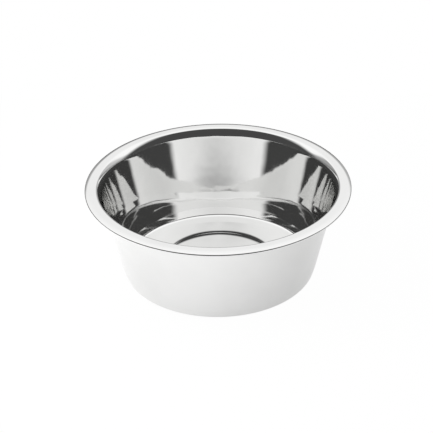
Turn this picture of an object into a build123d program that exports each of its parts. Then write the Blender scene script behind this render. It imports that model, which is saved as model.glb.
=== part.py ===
"""Stainless steel dog bowl: one drawn and polished steel shell on a bonded anti-slip ring.

The bowl stands on the XY plane with its axis on +Z, and the origin is the centre of its footprint.
All lengths are in millimetres and all angles in degrees. Radii of bends in the sheet are those of its
middle line. Slopes are measured from the level.
"""

import os
from math import cos, radians, sin, tan

from build123d import *

# Steel sheet and overall size
rim_diameter = 210.0
shell_height = 76.2
sheet_thickness = 0.6
bend_land = 0.1

# Rim: level flange, a drooping lip and a hemmed outer edge
flange_width = 9.16
lip_slope = 25.0
lip_radius = 7.7
hem_radius = 0.95
hem_return = 3.2

# Throat: rounded edge, long curved shoulder and a faint crease at the top of the wall
throat_edge_radius = 1.9
shoulder_top_slope = 52.9
shoulder_radius = 17.7
shoulder_foot_slope = 69.6
crease_radius = 4.1
crease_foot_slope = 75.0
wall_blend_radius = 60.0

# Wall and base: straight drafted wall with a tight corner into the flat base
wall_slope = 77.2
base_corner_radius = 2.4

# Anti-slip ring: flat bonded face above, two lands with a groove between them below
ring_thickness = 2.0
ring_inset = 7.0
ring_width = 9.0
groove_width = 3.0
groove_depth = 0.8
ring_edge_radius = 0.5

# Floor: centre panel pressed up inside the ring in one soft step, so that the bowl stands on the ring alone
panel_margin = 11.45
step_slope = 17.0
step_radius = 18.0


def tangent(radius, turn):
    """Length from a bend's corner to the start of its arc."""
    return radius * tan(radians(turn) / 2)


# Lengths of the straight-line runs between the corners of the sheet's middle line
lip_run = tangent(lip_radius, lip_slope) + bend_land
shoulder_tangent = tangent(shoulder_radius, shoulder_foot_slope - shoulder_top_slope)
crease_tangent = tangent(crease_radius, crease_foot_slope - shoulder_foot_slope)
upper_run = tangent(throat_edge_radius, shoulder_top_slope) + bend_land + shoulder_tangent
lower_run = shoulder_tangent + bend_land + crease_tangent
crease_run = crease_tangent + bend_land + tangent(wall_blend_radius, wall_slope - crease_foot_slope)
step_run = 2 * tangent(step_radius, step_slope) + bend_land

# Heights of the sheet's middle line
half_sheet = sheet_thickness / 2
floor_z = ring_thickness + half_sheet
panel_z = floor_z + step_run * sin(radians(step_slope))
flange_z = ring_thickness + shell_height - half_sheet
hem_z = flange_z - lip_run * sin(radians(lip_slope))
shoulder_z = flange_z - upper_run * sin(radians(shoulder_top_slope))
crease_z = shoulder_z - lower_run * sin(radians(shoulder_foot_slope))
wall_z = crease_z - crease_run * sin(radians(crease_foot_slope))

# Radii of the sheet's middle line, from the rim inwards
hem_start = rim_diameter / 2 - half_sheet - hem_radius + hem_radius * sin(radians(lip_slope))
lip_edge = hem_start - lip_run * cos(radians(lip_slope))
throat_edge = rim_diameter / 2 - flange_width
shoulder_edge = throat_edge - upper_run * cos(radians(shoulder_top_slope))
crease_edge = shoulder_edge - lower_run * cos(radians(shoulder_foot_slope))
wall_edge = crease_edge - crease_run * cos(radians(crease_foot_slope))
base_edge = wall_edge - (wall_z - floor_z) / tan(radians(wall_slope))

# Radii of the ring and of the pressed panel inside it
ring_centre = base_edge - ring_inset - ring_width / 2
panel_foot = ring_centre - ring_width / 2 - panel_margin
panel_edge = panel_foot - step_run * cos(radians(step_slope))

# Bowl shell: one sheet of constant thickness, from the floor's centre to the hem, turned about the axis
with BuildPart() as bowl_shell:
    with BuildSketch(Plane.XZ) as sheet_section:
        with BuildLine() as sheet_line:
            drawn_form = FilletPolyline(
                (0, panel_z),
                (panel_edge, panel_z),
                (panel_foot, floor_z),
                (base_edge, floor_z),
                (wall_edge, wall_z),
                (crease_edge, crease_z),
                (shoulder_edge, shoulder_z),
                (throat_edge, flange_z),
                (lip_edge, flange_z),
                (hem_start, hem_z),
                radius=[
                    step_radius,
                    step_radius,
                    base_corner_radius,
                    wall_blend_radius,
                    crease_radius,
                    shoulder_radius,
                    throat_edge_radius,
                    lip_radius,
                ],
            )
            hem_fold = JernArc(drawn_form @ 1, drawn_form % 1, hem_radius, lip_slope - 180)
            Line(hem_fold @ 1, hem_fold @ 1 + hem_return * (hem_fold % 1))
        trace(line_width=sheet_thickness)
    revolve(axis=Axis.Z)
bowl_shell.part.label = "bowl_shell"

# Anti-slip ring: bonded under the floor, inboard of the base corner
with BuildPart() as anti_slip_ring:
    with BuildSketch(Plane.XZ) as ring_section:
        with Locations((ring_centre, ring_thickness / 2)):
            Rectangle(ring_width, ring_thickness)
        with Locations((ring_centre, groove_depth / 2)):
            Rectangle(groove_width, groove_depth, mode=Mode.SUBTRACT)
        fillet(ring_section.vertices().group_by(Axis.Y)[0], ring_edge_radius)
    revolve(axis=Axis.Z)
anti_slip_ring.part.label = "anti_slip_ring"

os.makedirs("parts", exist_ok=True)
export_step(bowl_shell.part, "parts/bowl_shell.step")
export_step(anti_slip_ring.part, "parts/anti_slip_ring.step")
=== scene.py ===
"""Stainless dog bowl: a mirror-polished drawn shell on a bonded anti-slip ring, in a white light tent.

Lengths are in metres and angles in radians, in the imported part's own frame: the bowl stands on z = 0 with
its axis on +Z. The camera looks along +Y.
"""

import logging
import math
from dataclasses import dataclass, field
from enum import Enum
from typing import Any, Mapping, Optional, Sequence, Union

import bpy
from mathutils import Matrix, Vector


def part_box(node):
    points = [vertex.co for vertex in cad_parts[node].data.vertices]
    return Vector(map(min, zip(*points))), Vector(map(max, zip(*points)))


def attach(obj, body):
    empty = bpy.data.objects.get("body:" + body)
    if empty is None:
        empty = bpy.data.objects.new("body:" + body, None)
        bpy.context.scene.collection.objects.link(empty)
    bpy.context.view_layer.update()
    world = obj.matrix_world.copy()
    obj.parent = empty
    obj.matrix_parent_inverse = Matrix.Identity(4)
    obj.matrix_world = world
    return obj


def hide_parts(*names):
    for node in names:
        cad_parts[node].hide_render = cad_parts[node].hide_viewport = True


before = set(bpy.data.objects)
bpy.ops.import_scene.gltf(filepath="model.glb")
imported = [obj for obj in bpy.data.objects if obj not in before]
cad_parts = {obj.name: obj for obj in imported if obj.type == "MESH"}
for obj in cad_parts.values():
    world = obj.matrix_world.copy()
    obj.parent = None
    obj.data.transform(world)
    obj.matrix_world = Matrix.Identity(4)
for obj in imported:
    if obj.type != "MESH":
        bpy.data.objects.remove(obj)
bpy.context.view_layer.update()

MM = 0.001
BODY = "root"
MIRROR_BOUNCES = 16
LOG = logging.getLogger("dog_bowl")

Value = Union["Sock", float, int, Sequence[float], bpy.types.ID]
Station = tuple[Vector, Vector]


class CadNode(Enum):
    """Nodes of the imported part."""

    SHELL = "bowl_shell"
    RING = "anti_slip_ring"


class Slot(Enum):
    """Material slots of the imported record."""

    STEEL = "polished_steel"
    RUBBER = "ring_rubber"


class Sock:
    """An output socket whose arithmetic adds Math nodes to its tree."""

    def __init__(self, board: "Board", socket: Optional[bpy.types.NodeSocket]) -> None:
        """Keep the socket, or nothing for an end node, and the board that it stands on."""
        self.board = board
        self.socket = socket

    def other(self, name: str) -> "Sock":
        """Another output of the same node."""
        return Sock(self.board, self.board.find(self.socket.node.outputs, name))

    def __add__(self, value: Value) -> "Sock":
        """self + value."""
        return self.board.math("ADD", self, value)

    def __radd__(self, value: Value) -> "Sock":
        """value + self."""
        return self.board.math("ADD", value, self)

    def __sub__(self, value: Value) -> "Sock":
        """self - value."""
        return self.board.math("SUBTRACT", self, value)

    def __rsub__(self, value: Value) -> "Sock":
        """value - self."""
        return self.board.math("SUBTRACT", value, self)

    def __mul__(self, value: Value) -> "Sock":
        """self * value."""
        return self.board.math("MULTIPLY", self, value)

    def __rmul__(self, value: Value) -> "Sock":
        """value * self."""
        return self.board.math("MULTIPLY", value, self)

    def __truediv__(self, value: Value) -> "Sock":
        """self / value."""
        return self.board.math("DIVIDE", self, value)

    def __rtruediv__(self, value: Value) -> "Sock":
        """value / self."""
        return self.board.math("DIVIDE", value, self)

    def __neg__(self) -> "Sock":
        """-self."""
        return self.board.math("MULTIPLY", self, -1.0)


class Board:
    """A node tree that is being wired."""

    def __init__(self, tree: bpy.types.NodeTree) -> None:
        """Take the tree over and clear it."""
        self.tree = tree
        self.tree.nodes.clear()

    @staticmethod
    def find(sockets: Sequence[bpy.types.NodeSocket], key: Union[str, int]) -> bpy.types.NodeSocket:
        """Look a socket up.

        Args:
            sockets: a node's inputs or outputs.
            key: the socket's place, identifier or name.

        Returns:
            The socket.
        """
        if isinstance(key, int):
            return sockets[key]
        for socket in sockets:
            if socket.identifier == key:
                return socket
        return sockets[key]

    def add(
        self,
        kind: str,
        inputs: Optional[Mapping[Union[str, int], Value]] = None,
        settings: Optional[Mapping[str, Any]] = None,
        out: Union[str, int] = 0,
    ) -> Sock:
        """Add any node.

        Args:
            kind: the node's type.
            inputs: values or links of its sockets, by place, identifier or name.
            settings: the node's own properties, which are set first.
            out: the output to hand back.

        Returns:
            That output. An end node has none, and its Sock is empty.
        """
        node = self.tree.nodes.new(kind)
        for name, setting in (settings or {}).items():
            setattr(node, name, setting)
        for key, value in (inputs or {}).items():
            socket = self.find(node.inputs, key)
            if isinstance(value, Sock):
                self.tree.links.new(value.socket, socket)
            else:
                socket.default_value = value
        return Sock(self, self.find(node.outputs, out) if node.outputs else None)

    def math(self, operation: str, *operands: Value) -> Sock:
        """The value of one Math node, whose inputs are the operands in order."""
        return self.add("ShaderNodeMath", dict(enumerate(operands)), {"operation": operation})

    def smooth_step(self, value: Sock, low: float, high: float) -> Sock:
        """A soft switch: 0 below low, 1 above high and a smooth rise between."""
        inputs = {"Value": value, "From Min": low, "From Max": high}
        return self.add("ShaderNodeMapRange", inputs, {"interpolation_type": "SMOOTHSTEP"})

    def blend_colour(self, mask: Value, first: Value, second: Value) -> Sock:
        """Two colours mixed, with the mask as the second one's share."""
        inputs = {"Factor_Float": mask, "A_Color": first, "B_Color": second}
        return self.add("ShaderNodeMix", inputs, {"data_type": "RGBA"}, "Result_Color")

    def noise(self, vector: Sock, scale: float, detail: float) -> Sock:
        """Noise about 0.5, with so many grains to a unit of length and so many finer octaves."""
        inputs = {"Vector": vector, "Scale": scale, "Detail": detail}
        return self.add("ShaderNodeTexNoise", inputs, out="Fac")


@dataclass(frozen=True)
class Finish:
    """A material that is built once, by its subclass."""

    name: str

    def material(self) -> bpy.types.Material:
        """Build the material.

        Returns:
            The material, with its surface wired.
        """
        made = bpy.data.materials.new(self.name)
        made.use_nodes = True
        board = Board(made.node_tree)
        board.add("ShaderNodeOutputMaterial", {"Surface": self.surface(board)})
        return made

    def surface(self, board: Board) -> Sock:
        """The surface shader, wired on the material's board by the subclass."""
        raise NotImplementedError


@dataclass(frozen=True)
class PolishedSteel(Finish):
    """Mirror-polished stainless steel, buffed on a turning spindle.

    Scales are grains to the metre. Breaks are how often a polish line changes on its way round.
    """

    name: str = "mirror_polished_steel"
    colour: tuple[float, float, float] = (0.835, 0.835, 0.830)
    haze_colour: tuple[float, float, float] = (0.815, 0.815, 0.810)
    haze_scale: float = 28.0
    haze_detail: float = 3.0
    haze_edges: tuple[float, float] = (0.40, 0.70)
    roughness: float = 0.030
    haze_roughness: float = 0.015
    line_roughness: float = 0.015
    line_pitch: float = 0.45 * MM
    line_breaks: float = 14.0
    line_detail: float = 3.0
    line_height: float = 0.00025 * MM
    wave_length: float = 17.0 * MM
    wave_height: float = 0.060 * MM
    wave_detail: float = 1.0

    def polish_lines(self, board: Board, place: Sock) -> Sock:
        """Wire the fine lines that buffing leaves round the axis.

        Args:
            board: the material's tree.
            place: the point on the piece.

        Returns:
            Noise about 0.5, drawn out round the axis.
        """
        axes = board.add("ShaderNodeSeparateXYZ", {0: place})
        x, y, z = axes, axes.other("Y"), axes.other("Z")
        radius = board.math("SQRT", x * x + y * y)
        spindle = self.line_breaks / math.tau
        lines_at = board.add(
            "ShaderNodeCombineXYZ",
            {0: radius / self.line_pitch, 1: z / self.line_pitch, 2: x / radius * spindle},
        )
        return board.add(
            "ShaderNodeTexNoise",
            {"Vector": lines_at, "W": y / radius * spindle, "Scale": 1.0, "Detail": self.line_detail},
            {"noise_dimensions": "4D"},
        )

    def surface(self, board: Board) -> Sock:
        """Wire polish lines round the axis, a faint haze and the sheet's waviness.

        Args:
            board: the material's tree.

        Returns:
            The metal shader.
        """
        place = board.add("ShaderNodeTexCoord", out="Object")
        lines = self.polish_lines(board, place)
        haze = board.noise(place, self.haze_scale, self.haze_detail)
        waves = board.noise(place, 1.0 / self.wave_length, self.wave_detail)
        height = waves * self.wave_height + lines * self.line_height
        bump = board.add("ShaderNodeBump", {"Strength": 1.0, "Distance": 1.0, "Height": height})
        mask = board.smooth_step(haze, *self.haze_edges)
        grain = lines * self.line_roughness + mask * self.haze_roughness
        inputs = {
            "Base Color": board.blend_colour(mask, (*self.colour, 1.0), (*self.haze_colour, 1.0)),
            "Metallic": 1.0,
            "Roughness": grain + self.roughness,
            "Normal": bump,
        }
        return board.add("ShaderNodeBsdfPrincipled", inputs)


@dataclass(frozen=True)
class MouldedRubber(Finish):
    """Matt black moulded rubber with a fine spark-eroded grain. Scales are grains to the metre."""

    name: str = "moulded_rubber"
    colour: tuple[float, float, float] = (0.024, 0.024, 0.025)
    bloom_colour: tuple[float, float, float] = (0.055, 0.054, 0.053)
    bloom_scale: float = 90.0
    bloom_detail: float = 4.0
    bloom_edges: tuple[float, float] = (0.45, 0.75)
    grain_scale: float = 4200.0
    grain_detail: float = 2.0
    grain_height: float = 0.03 * MM
    roughness: float = 0.62
    grain_roughness: float = 0.25

    def surface(self, board: Board) -> Sock:
        """Wire a fine grain and a pale bloom in patches.

        Args:
            board: the material's tree.

        Returns:
            The rubber shader.
        """
        place = board.add("ShaderNodeTexCoord", out="Object")
        grain = board.noise(place, self.grain_scale, self.grain_detail)
        patches = board.noise(place, self.bloom_scale, self.bloom_detail)
        bloom = board.smooth_step(patches, *self.bloom_edges)
        bump = board.add("ShaderNodeBump", {"Distance": self.grain_height, "Height": grain})
        inputs = {
            "Base Color": board.blend_colour(bloom, (*self.colour, 1.0), (*self.bloom_colour, 1.0)),
            "Roughness": grain * self.grain_roughness + self.roughness,
            "Normal": bump,
        }
        return board.add("ShaderNodeBsdfPrincipled", inputs)


@dataclass(frozen=True)
class StudioFloor(Finish):
    """White matt table that the camera sees as white, with the bowl's soft shadow on it."""

    name: str = "studio_floor"
    colour: tuple[float, float, float] = (0.86, 0.86, 0.86)
    shown_white: float = 0.985
    mirrored_white: float = 0.50

    def surface(self, board: Board) -> Sock:
        """Wire a diffuse table with a share of plain white for rays from the camera and from gloss.

        Args:
            board: the material's tree.

        Returns:
            The table's shader.
        """
        path = board.add("ShaderNodeLightPath", out="Is Camera Ray")
        share = path * self.shown_white + path.other("Is Glossy Ray") * self.mirrored_white
        table = board.add("ShaderNodeBsdfDiffuse", {"Color": (*self.colour, 1.0)})
        white = board.add("ShaderNodeEmission", {"Strength": 1.0})
        return board.add("ShaderNodeMixShader", {0: share, 1: table, 2: white})


@dataclass
class TurnedPiece:
    """A piece turned about the Z axis from an outline in the half-plane of radius and height.

    Segments are the steps in one turn. Points that lie closer than the weld are merged, which closes
    the seam and the poles.
    """

    name: str
    node: CadNode
    slot: Slot
    finish: Finish
    segments: int = 256
    weld: float = 0.004 * MM

    def outline(self) -> list[Vector]:
        """Points (radius, 0, height) of the turned outline in order, made by the subclass."""
        raise NotImplementedError

    @staticmethod
    def turned_places(board: Board, line: Sock, segments: Sock) -> Sock:
        """Wire the place of each point on the grid, whose rows are the outline's points.

        Args:
            board: the turning tree.
            line: the outline.
            segments: the number of steps in one turn.

        Returns:
            The row's point, turned about the axis by the column's share of the turn.
        """
        columns = segments + 1
        index = board.add("GeometryNodeInputIndex")
        # the half keeps the first point of each row clear of rounding
        row = board.math("FLOOR", (index + 0.5) / columns)
        turn = (index - row * columns) * math.tau / segments
        point = board.add(
            "GeometryNodeSampleIndex",
            {"Geometry": line, "Value": board.add("GeometryNodeInputPosition"), "Index": row},
            {"data_type": "FLOAT_VECTOR"},
            "Value",
        )
        radius = board.add("ShaderNodeSeparateXYZ", {0: point})
        height = radius.other("Z")
        x = radius * board.math("COSINE", turn)
        y = radius * board.math("SINE", turn)
        return board.add("ShaderNodeCombineXYZ", {0: x, 1: y, 2: height})

    def turning_tree(self) -> bpy.types.NodeTree:
        """Wire the tree that turns an outline.

        Returns:
            A Geometry Nodes tree with the inputs Segments, Weld and Finish.
        """
        tree = bpy.data.node_groups.new("turn_about_axis", "GeometryNodeTree")
        kinds = {"Geometry": "Geometry", "Segments": "Int", "Weld": "Float", "Finish": "Material"}
        for name, kind in kinds.items():
            tree.interface.new_socket(name, in_out="INPUT", socket_type="NodeSocket" + kind)
        tree.interface.new_socket("Geometry", in_out="OUTPUT", socket_type="NodeSocketGeometry")
        board = Board(tree)
        line = board.add("NodeGroupInput", out="Geometry")
        segments, weld, finish = (line.other(name) for name in ("Segments", "Weld", "Finish"))
        rows = board.add("GeometryNodeAttributeDomainSize", {"Geometry": line}, out="Point Count")
        size = {"Vertices X": rows, "Vertices Y": segments + 1}
        sheet = board.add("GeometryNodeMeshGrid", size, out="Mesh")
        places = self.turned_places(board, line, segments)
        turned = board.add("GeometryNodeSetPosition", {"Geometry": sheet, "Position": places})
        closed = board.add("GeometryNodeMergeByDistance", {"Geometry": turned, "Distance": weld})
        smooth = board.add("GeometryNodeSetShadeSmooth", {"Geometry": closed})
        real = board.add("GeometryNodeRealizeInstances", {"Geometry": smooth})
        dressed = board.add("GeometryNodeSetMaterial", {"Geometry": real, "Material": finish})
        board.add("NodeGroupOutput", {"Geometry": dressed})
        return tree

    def build(self) -> bpy.types.Object:
        """Turn the outline into a plain mesh.

        Returns:
            The piece, at the origin.
        """
        points = self.outline()
        line = bpy.data.meshes.new(self.name + "_outline")
        line.from_pydata(points, [(k, k + 1) for k in range(len(points) - 1)], [])
        piece = bpy.data.objects.new(self.name, line)
        bpy.context.scene.collection.objects.link(piece)
        tree = self.turning_tree()
        turning = piece.modifiers.new("turning", "NODES")
        turning.node_group = tree
        values = {"Segments": self.segments, "Weld": self.weld, "Finish": self.finish.material()}
        for item in tree.interface.items_tree:
            if item.in_out == "INPUT" and item.name in values:
                turning[item.identifier] = values[item.name]
        graph = bpy.context.evaluated_depsgraph_get()
        solid = bpy.data.meshes.new_from_object(piece.evaluated_get(graph))
        piece.modifiers.clear()
        piece.data = solid
        solid.name = self.name
        bpy.data.meshes.remove(line)
        return piece

    def dress(self, piece: bpy.types.Object) -> None:
        """Set the piece in the frame.

        Args:
            piece: the built piece.
        """
        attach(piece, BODY)
        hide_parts(self.node.value)
        LOG.info("%s: %d faces, %s", self.name, len(piece.data.polygons), self.finish.name)


class BentLine:
    """Straight runs joined by tangent arcs, in the half-plane of radius and height.

    Attributes:
        growth: each gap between stations beside a run's end, as a multiple of the one before.
        fewest_steps: the fewest steps on an arc.
    """

    growth: float = 3.0
    fewest_steps: int = 4

    def __init__(self, corners: Sequence[tuple[float, float]], radii: Sequence[float]) -> None:
        """Take the corners and the radius at each inner one."""
        self.corners = [Vector(corner) for corner in corners]
        self.radii = radii

    @staticmethod
    def side_of(direction: Vector) -> Vector:
        """The unit normal on the left of a direction."""
        return Vector((-direction.y, direction.x)).normalized()

    def run(self, start: Vector, end: Vector, edge: float, step: float) -> list[Station]:
        """Stations inside a straight run, close together beside its ends.

        Args:
            start: the run's first point.
            end: its last point.
            edge: the first distance from either end.
            step: the longest distance between stations.

        Returns:
            Stations in order, without the two ends.
        """
        along = end - start
        length = along.length
        side = self.side_of(along)
        reach = []
        gap = edge
        while gap < min(length / 2, step):
            reach.append(gap)
            gap *= self.growth
        low = reach[-1] if reach else 0.0
        count = max(1, math.ceil((length - 2 * low) / step))
        middle = [low + (length - 2 * low) * k / count for k in range(1, count)]
        places = reach + middle + [length - gap for gap in reversed(reach)]
        return [(start + along * (place / length), side) for place in places]

    def stations(self, arc_step: float, edge: float, step: float) -> list[Station]:
        """Walk the line.

        Args:
            arc_step: the largest turn between stations on an arc.
            edge: how close the first station on a straight run lies to its end.
            step: the longest distance between stations on a straight run.

        Returns:
            Points with their normals on the left of the walk.
        """
        found: list[Station] = []
        at = self.corners[0]
        for before, corner, after, radius in zip(
            self.corners, self.corners[1:], self.corners[2:], self.radii
        ):
            inward = (corner - before).normalized()
            onward = (after - corner).normalized()
            turn = math.atan2(inward.cross(onward), inward.dot(onward))
            trim = radius * math.tan(abs(turn) / 2)
            start = corner - inward * trim
            if not found:
                found.append((at, self.side_of(inward)))
            if (start - at).length > edge:
                found += self.run(at, start, edge, step)
            centre = start + self.side_of(inward) * math.copysign(radius, turn)
            count = max(self.fewest_steps, math.ceil(abs(turn) / arc_step))
            for k in range(count + 1):
                spun = Matrix.Rotation(turn * k / count, 2)
                found.append((centre + spun @ (start - centre), spun @ self.side_of(inward)))
            at = corner + onward * trim
        end = self.corners[-1]
        found += self.run(at, end, edge, step)
        found.append((end, self.side_of(end - at)))
        return found


@dataclass
class BowlShell(TurnedPiece):
    """The drawn steel shell: pressed floor, drafted wall, curved shoulder, level flange, lip and hem.

    Radii of bends are those of the sheet's middle line. Slopes are measured from the level.
    """

    name: str = "bowl_shell_polished"
    node: CadNode = CadNode.SHELL
    slot: Slot = Slot.STEEL
    finish: Finish = field(default_factory=PolishedSteel)
    sheet: float = 0.6 * MM
    rim_radius: float = 105.0 * MM
    bend_land: float = 0.1 * MM
    flange_width: float = 9.16 * MM
    lip_slope: float = math.radians(25.0)
    lip_radius: float = 7.7 * MM
    hem_radius: float = 0.95 * MM
    hem_return: float = 3.2 * MM
    throat_edge_radius: float = 1.9 * MM
    shoulder_top_slope: float = math.radians(52.9)
    shoulder_radius: float = 17.7 * MM
    shoulder_foot_slope: float = math.radians(69.6)
    crease_radius: float = 4.1 * MM
    crease_foot_slope: float = math.radians(75.0)
    wall_blend_radius: float = 60.0 * MM
    wall_slope: float = math.radians(77.2)
    belly_height: float = 35.3 * MM
    belly_slope: float = math.radians(77.6)
    belly_radius: float = 690.0 * MM
    foot_height: float = 7.5 * MM
    foot_slope: float = math.radians(73.6)
    foot_radius: float = 12.0 * MM
    base_corner_radius: float = 2.9 * MM
    panel_foot: float = 49.23 * MM
    step_slope: float = math.radians(17.0)
    step_radius: float = 18.0 * MM
    arc_step: float = math.radians(4.0)
    edge_step: float = 0.12 * MM
    run_step: float = 7.0 * MM
    cut_edge_steps: int = 6

    @staticmethod
    def tangent(radius: float, turn: float) -> float:
        """The length from a bend's corner to the start of its arc."""
        return radius * math.tan(turn / 2)

    @staticmethod
    def down(corner: Vector, slope: float, run: float) -> Vector:
        """The corner at the end of a run inwards and down from another corner."""
        return corner - run * Vector((math.cos(slope), math.sin(slope)))

    @staticmethod
    def down_to(corner: Vector, slope: float, height: float) -> Vector:
        """The corner at a given height, inwards and down from another corner."""
        return Vector((corner.x - (corner.y - height) / math.tan(slope), height))

    def drawn_corners(self, floor: float, flange: float) -> list[Vector]:
        """Corners of the wall, with its faint belly and foot, the shoulder and the throat.

        Args:
            floor: the floor's height.
            flange: the flange's height.

        Returns:
            Corners from the base's edge up to the flange.
        """
        top, mid, low = self.shoulder_top_slope, self.shoulder_foot_slope, self.crease_foot_slope
        edge_bend = self.tangent(self.throat_edge_radius, top)
        shoulder_bend = self.tangent(self.shoulder_radius, mid - top)
        crease_bend = self.tangent(self.crease_radius, low - mid)
        wall_bend = self.tangent(self.wall_blend_radius, self.wall_slope - low)
        throat = Vector((self.rim_radius - self.flange_width, flange))
        shoulder = self.down(throat, top, edge_bend + self.bend_land + shoulder_bend)
        crease = self.down(shoulder, mid, shoulder_bend + self.bend_land + crease_bend)
        wall = self.down(crease, low, crease_bend + self.bend_land + wall_bend)
        belly = self.down_to(wall, self.wall_slope, floor + self.belly_height)
        foot = self.down_to(belly, self.belly_slope, floor + self.foot_height)
        base = self.down_to(foot, self.foot_slope, floor)
        return [base, foot, belly, wall, crease, shoulder, throat]

    def rim_corners(self, flange: float) -> list[Vector]:
        """Corners of the lip and the hem.

        Args:
            flange: the flange's height.

        Returns:
            Corners from the flange's edge round to the hem's end.
        """
        half = self.sheet / 2
        edge = self.rim_radius - half
        across, down = math.cos(self.lip_slope), math.sin(self.lip_slope)
        lip_run = self.tangent(self.lip_radius, self.lip_slope) + self.bend_land
        hem_centre = Vector((edge - self.hem_radius, flange - lip_run * down - self.hem_radius * across))
        hem_start = hem_centre.x + self.hem_radius * down
        shed = self.tangent(self.hem_radius, math.pi / 2 - self.lip_slope)
        low = hem_centre.y - self.hem_radius
        return [
            Vector((hem_start - lip_run * across, flange)),
            Vector((edge, hem_centre.y + shed)),
            Vector((edge, low)),
            Vector((hem_centre.x - self.hem_return + half, low)),
        ]

    def middle_line(self) -> BentLine:
        """The sheet's middle line, from the floor's centre to the hem's end.

        Returns:
            The bent line.
        """
        low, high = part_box(self.node.value)
        half = self.sheet / 2
        floor = low.z + half
        flange = high.z - half
        step_run = 2 * self.tangent(self.step_radius, self.step_slope) + self.bend_land
        panel = floor + step_run * math.sin(self.step_slope)
        corners = [
            Vector((0.0, panel)),
            Vector((self.panel_foot - step_run * math.cos(self.step_slope), panel)),
            Vector((self.panel_foot, floor)),
            *self.drawn_corners(floor, flange),
            *self.rim_corners(flange),
        ]
        radii = [
            self.step_radius,
            self.step_radius,
            self.base_corner_radius,
            self.foot_radius,
            self.belly_radius,
            self.wall_blend_radius,
            self.crease_radius,
            self.shoulder_radius,
            self.throat_edge_radius,
            self.lip_radius,
            self.hem_radius,
            self.hem_radius,
        ]
        return BentLine(corners, radii)

    def outline(self) -> list[Vector]:
        """Both faces of the sheet, joined by the rounded cut edge inside the hem.

        Returns:
            Points (radius, 0, height) from the floor's centre out over the rim and back below.
        """
        half = self.sheet / 2
        walk = self.middle_line().stations(self.arc_step, self.edge_step, self.run_step)
        upper = [point + side * half for point, side in walk]
        lower = [point - side * half for point, side in reversed(walk)]
        end, side = walk[-1]
        cut_edge = [
            end + Matrix.Rotation(-math.pi * k / self.cut_edge_steps, 2) @ (side * half)
            for k in range(1, self.cut_edge_steps)
        ]
        return [Vector((max(p.x, 0.0), 0.0, p.y)) for p in upper + cut_edge + lower]


@dataclass
class AntiSlipRing(TurnedPiece):
    """The rubber ring bonded under the floor: flat above, two rounded lands and a groove below."""

    name: str = "anti_slip_ring_rubber"
    node: CadNode = CadNode.RING
    slot: Slot = Slot.RUBBER
    finish: Finish = field(default_factory=MouldedRubber)
    width: float = 9.0 * MM
    groove_width: float = 3.0 * MM
    groove_depth: float = 0.8 * MM
    edge_radius: float = 0.5 * MM
    groove_edge_radius: float = 0.25 * MM
    corner_radius: float = 0.12 * MM
    outer_radius: float = 69.68 * MM
    arc_step: float = math.radians(15.0)
    edge_step: float = 0.1 * MM
    run_step: float = 3.0 * MM

    def outline(self) -> list[Vector]:
        """The ring's section, walked once round from the middle of its bonded face.

        Returns:
            Points (radius, 0, height), the first one again at the end.
        """
        low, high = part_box(self.node.value)
        outer, inner = self.outer_radius, self.outer_radius - self.width
        middle = (outer + inner) / 2
        groove = low.z + self.groove_depth
        half = self.groove_width / 2
        corners = [
            (middle, high.z),
            (outer, high.z),
            (outer, low.z),
            (middle + half, low.z),
            (middle + half, groove),
            (middle - half, groove),
            (middle - half, low.z),
            (inner, low.z),
            (inner, high.z),
            (middle, high.z),
        ]
        corner, land, groove_edge = self.corner_radius, self.edge_radius, self.groove_edge_radius
        radii = [corner, land, groove_edge, corner, corner, groove_edge, land, corner]
        walk = BentLine(corners, radii).stations(self.arc_step, self.edge_step, self.run_step)
        return [Vector((point.x, 0.0, point.y)) for point, _ in walk]


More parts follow.
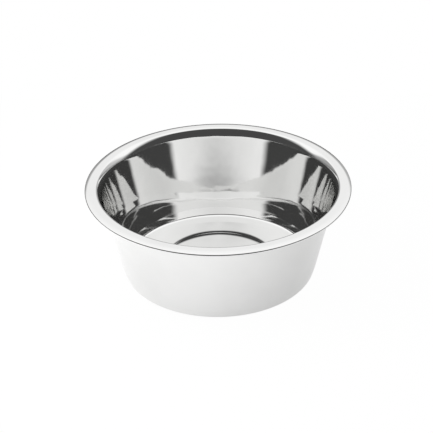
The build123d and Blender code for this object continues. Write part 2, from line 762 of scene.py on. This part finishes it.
@dataclass
class LightTent:
    """A white tent round the bowl, open towards the camera, with a dark gap round its foot.

    Light values are strengths, with 1 as white. The opening and the gap are set in directions, as
    shares of a unit vector: right, back and up.
    """

    white: float = 0.88
    white_up: float = 0.245
    white_sides: float = 0.20
    white_front: float = -0.09
    opening: float = 0.068
    opening_slope: float = 1.22
    opening_lift: float = 0.340
    opening_lean: float = 0.055
    opening_blur: float = 0.17
    gap: float = 0.38
    gap_right: float = 0.27
    gap_foot: float = 0.02
    gap_fade: float = 0.12
    gap_height: float = 0.17
    gap_lift: float = 0.21
    gap_blur: float = 0.08
    floor_reach: float = 0.32
    floor_drop: float = 0.05 * MM
    floor_finish: Finish = field(default_factory=StudioFloor)
    lamp_at: tuple[float, float, float] = (-0.40, -0.10, 0.36)
    lamp_size: float = 0.45
    lamp_watts: float = 2.7

    def opening_share(self, board: Board, right: Sock, back: Sock, up: Sock) -> Sock:
        """Wire the dark opening on the camera's side.

        Args:
            board: the world's tree.
            right: the direction's share to the right.
            back: its share away from the camera.
            up: its share upwards.

        Returns:
            1 inside the opening, 0 outside and a soft edge between.
        """
        edge = board.math("ABSOLUTE", right) * self.opening_lift - right * self.opening_lean
        above = up + back * self.opening_slope - edge
        return 1.0 - board.smooth_step(above, -self.opening_blur, self.opening_blur)

    def wall_light(self, board: Board, right: Sock, back: Sock, up: Sock) -> Sock:
        """Wire the light of the tent's wall and of the gap round its foot.

        Args:
            board: the world's tree.
            right: the direction's share to the right.
            back: its share away from the camera.
            up: its share upwards.

        Returns:
            The strength of the light.
        """
        behind = board.math("MAXIMUM", back, 0.0)
        before = board.math("MAXIMUM", -back, 0.0)
        rise = up - behind * self.gap_lift
        low, high = self.gap_height - self.gap_blur, self.gap_height + self.gap_blur
        foot = 1.0 - board.smooth_step(rise, low, high)
        fade = board.add("ShaderNodeClamp", {"Value": up / self.gap_fade})
        gap = (board.math("MAXIMUM", right, 0.0) * self.gap_right + self.gap) * fade + self.gap_foot
        sides = right * right * self.white_sides
        white = up * self.white_up + sides + before * self.white_front + self.white
        return foot * (gap - white) + white

    def build_world(self) -> None:
        """Wire the tent's light by direction; the camera itself sees plain white."""
        world = bpy.data.worlds.new("light_tent")
        bpy.context.scene.world = world
        world.use_nodes = True
        board = Board(world.node_tree)
        way = board.add("ShaderNodeSeparateXYZ", {0: board.add("ShaderNodeTexCoord", out="Generated")})
        right, back, up = way, way.other("Y"), way.other("Z")
        hole = self.opening_share(board, right, back, up)
        wall = self.wall_light(board, right, back, up)
        light = hole * (self.opening - wall) + wall
        seen = board.add("ShaderNodeLightPath", out="Is Camera Ray")
        strength = light + seen * (1.0 - light)
        tent = board.add("ShaderNodeBackground", {"Color": (1.0, 1.0, 1.0, 1.0), "Strength": strength})
        board.add("ShaderNodeOutputWorld", {"Surface": tent})

    def build_floor(self) -> None:
        """Lay the table that the bowl stands on."""
        reach, level = self.floor_reach, -self.floor_drop
        corners = [
            (-reach, -reach, level),
            (reach, -reach, level),
            (reach, reach, level),
            (-reach, reach, level),
        ]
        mesh = bpy.data.meshes.new("floor")
        mesh.from_pydata(corners, [], [range(len(corners))])
        mesh.materials.append(self.floor_finish.material())
        floor = bpy.data.objects.new("floor", mesh)
        bpy.context.scene.collection.objects.link(floor)

    def build_lamp(self) -> None:
        """Hang the soft lamp, which lights the table and stays out of the mirror images."""
        lamp = bpy.data.lights.new("soft_lamp", "AREA")
        lamp.shape = "DISK"
        lamp.size = self.lamp_size
        lamp.energy = self.lamp_watts
        hung = bpy.data.objects.new("soft_lamp", lamp)
        hung.location = self.lamp_at
        hung.rotation_euler = Vector(self.lamp_at).to_track_quat("Z", "Y").to_euler()
        hung.visible_glossy = False
        bpy.context.scene.collection.objects.link(hung)

    def build(self) -> None:
        """Set up the world, the table and the lamp."""
        self.build_world()
        self.build_floor()
        self.build_lamp()


@dataclass
class Viewpoint:
    """The camera, at the photograph's place: it looks along +Y and down, a little rolled.

    Lens and sensor are in millimetres, as Blender takes them.
    """

    aim: tuple[float, float, float] = (-1.59 * MM, 0.0, 47.08 * MM)
    distance: float = 1043.2 * MM
    elevation: float = math.radians(30.77)
    roll: float = math.radians(-1.04)
    lens: float = 108.41
    sensor: float = 36.0

    def build(self) -> None:
        """Place the camera and make it the scene's own."""
        camera = bpy.data.cameras.new("camera")
        camera.lens = self.lens
        camera.sensor_width = self.sensor
        placed = bpy.data.objects.new("camera", camera)
        back = Vector((0.0, -math.cos(self.elevation), math.sin(self.elevation)))
        pitch = Matrix.Rotation(math.pi / 2 - self.elevation, 4, "X")
        roll = Matrix.Rotation(self.roll, 4, "Z")
        spot = Matrix.Translation(Vector(self.aim) + back * self.distance)
        placed.matrix_world = spot @ pitch @ roll
        bpy.context.scene.collection.objects.link(placed)
        bpy.context.scene.camera = placed


def main() -> None:
    """Build the bowl's pieces in order, then the tent and the camera."""
    logging.basicConfig(level=logging.INFO, format="%(name)s: %(message)s")
    scene = bpy.context.scene
    scene.view_settings.view_transform = "Standard"
    scene.cycles.max_bounces = MIRROR_BOUNCES
    scene.cycles.glossy_bounces = MIRROR_BOUNCES
    for part in (BowlShell(), AntiSlipRing()):
        part.dress(part.build())
    LightTent().build()
    Viewpoint().build()


if __name__ == "__main__":
    main()
